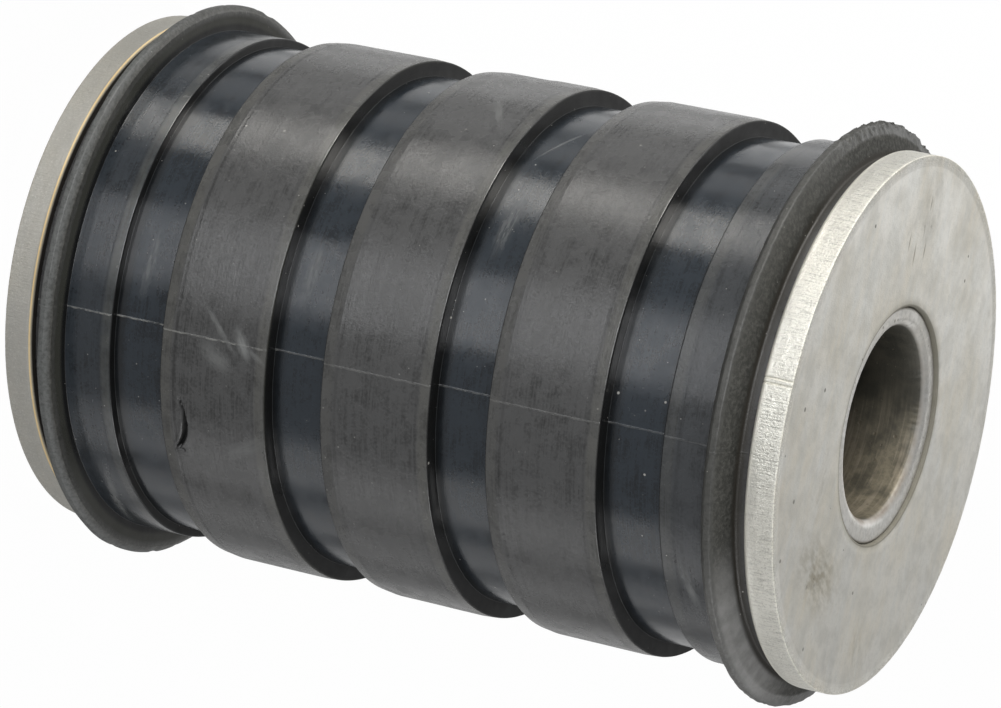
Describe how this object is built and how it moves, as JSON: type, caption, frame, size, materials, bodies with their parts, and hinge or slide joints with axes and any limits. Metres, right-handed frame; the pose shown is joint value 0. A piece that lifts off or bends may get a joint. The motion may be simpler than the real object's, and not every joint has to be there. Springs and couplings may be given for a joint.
{
  "type": "rubber metal bush",
  "caption": "Rubber metal bush: a steel tube with a plate washer at each end and a ribbed rubber moulding with sealing lips between them.",
  "frame": {"origin": "on the bush's axis, in the outer face of the lower end washer", "axes": "+Z along the bush's axis, from the lower end washer to the upper one"},
  "size_m": [0.0742, 0.0742, 0.108],
  "materials": {
    "steel_tube": "turned end face, dark oiled bore",
    "steel_plate": "dull satin plate with a sheared rim",
    "rubber": "matte moulded rubber, glossier in the grooves"
  },
  "bodies": {
    "root": {"inner_tube": "steel_tube", "lower_end_washer": "steel_plate", "upper_end_washer": "steel_plate", "rubber_body": "rubber"}
  },
  "joints": []
}
